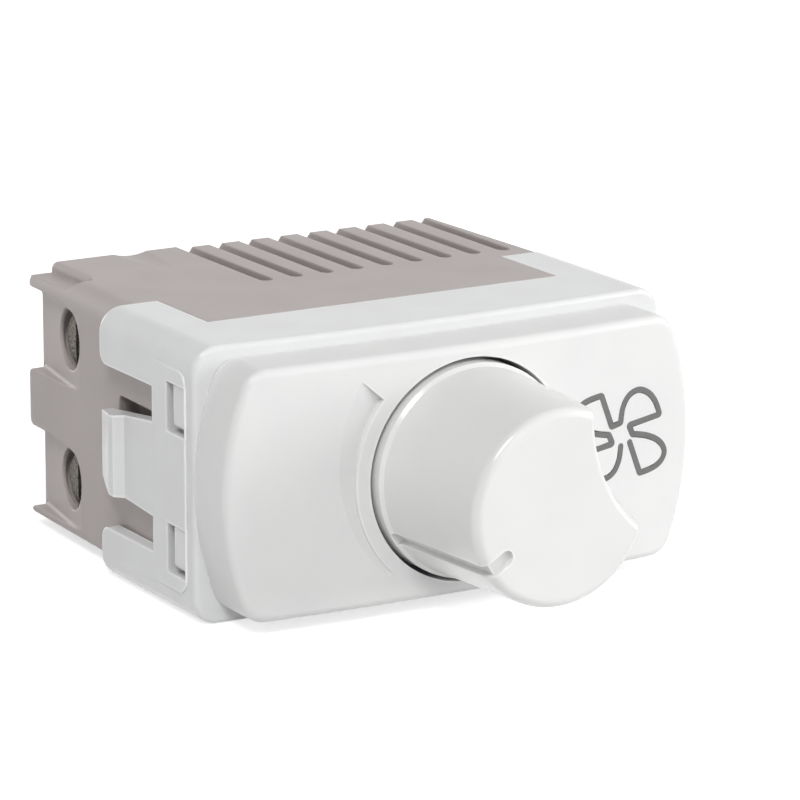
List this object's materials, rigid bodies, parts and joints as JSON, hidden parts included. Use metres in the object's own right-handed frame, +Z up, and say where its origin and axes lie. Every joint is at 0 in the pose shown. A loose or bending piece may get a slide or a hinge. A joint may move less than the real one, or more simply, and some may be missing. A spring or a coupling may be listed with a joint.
{
  "type": "fan speed control switch",
  "caption": "Snap-in wall-plate module with a conical turning knob, a crowned cover, a framed housing with cooling slots and screw terminals; turns a fan's speed up and down.",
  "frame": {"origin": "on the knob's axis, at the crown of the mounting frame's front face", "axes": "+X right, +Y into the wall, +Z up, seen from the front"},
  "size_m": [0.0466, 0.0539, 0.0232],
  "materials": {
    "cover": "satin",
    "frame": "satin",
    "housing": "matt, fine grain",
    "knob": "satin",
    "spring_steel": "bright",
    "shaft": "turned",
    "wiper": "moulded",
    "bush": "turned",
    "case": "pressed",
    "track": "laminate",
    "plated_steel": "zinc plated",
    "board": "laminate",
    "resistor": "lacquered",
    "film_red": "dipped",
    "diac_blue": "moulded",
    "fuse": "ceramic",
    "film_yellow": "moulded box",
    "core": "pressed powder",
    "winding": "enamelled wire",
    "device": "moulded",
    "sink": "folded sheet",
    "contact": "stamped"
  },
  "bodies": {
    "base": {"front_cover": "cover", "mounting_frame": "frame", "rear_housing": "housing", "pot_bush": "bush", "pot_case": "case", "pot_track": "track", "bush_washer": "plated_steel", "bush_nut": "plated_steel", "heat_sink_screw": "plated_steel", "circuit_board": "board", "resistors": "resistor", "timing_capacitor": "film_red", "diac": "diac_blue", "fuse": "fuse", "suppression_capacitor": "film_yellow", "choke_core": "core", "choke_winding": "winding", "triac": "device", "heat_sink": "sink", "contact_bar_upper": "contact", "contact_bar_lower": "contact"},
    "dial": {"knob": "knob", "knob_clip": "spring_steel", "control_shaft": "shaft", "wiper": "wiper"},
    "screw_upper": {"terminal_screw_upper": "plated_steel"},
    "clamp_upper": {"terminal_cage_upper": "plated_steel"},
    "screw_lower": {"terminal_screw_lower": "plated_steel"},
    "clamp_lower": {"terminal_cage_lower": "plated_steel"}
  },
  "joints": [
    {"name": "dial_turn", "type": "hinge", "parent": "base", "child": "dial", "pos_m": [0, 0, 0], "axis": [0, 1, 0], "range_deg": [0, 240]},
    {"name": "screw_upper_turn", "type": "hinge", "parent": "base", "child": "screw_upper", "pos_m": [-0.01955, 0.02724, 0.00665], "axis": [1, 0, 0], "range_deg": [0, 1562]},
    {"name": "clamp_upper_slide", "type": "slide", "parent": "base", "child": "clamp_upper", "axis": [-1, 0, 0], "range_m": [0, 0.0026]},
    {"name": "screw_lower_turn", "type": "hinge", "parent": "base", "child": "screw_lower", "pos_m": [-0.01955, 0.02724, -0.00575], "axis": [1, 0, 0], "range_deg": [0, 1562]},
    {"name": "clamp_lower_slide", "type": "slide", "parent": "base", "child": "clamp_lower", "axis": [-1, 0, 0], "range_m": [0, 0.0026]}
  ],
  "couplings": [
    {"joint": "screw_upper_turn", "follows": "clamp_upper_slide", "rad_per_m": 10472},
    {"joint": "screw_lower_turn", "follows": "clamp_lower_slide", "rad_per_m": 10472}
  ]
}
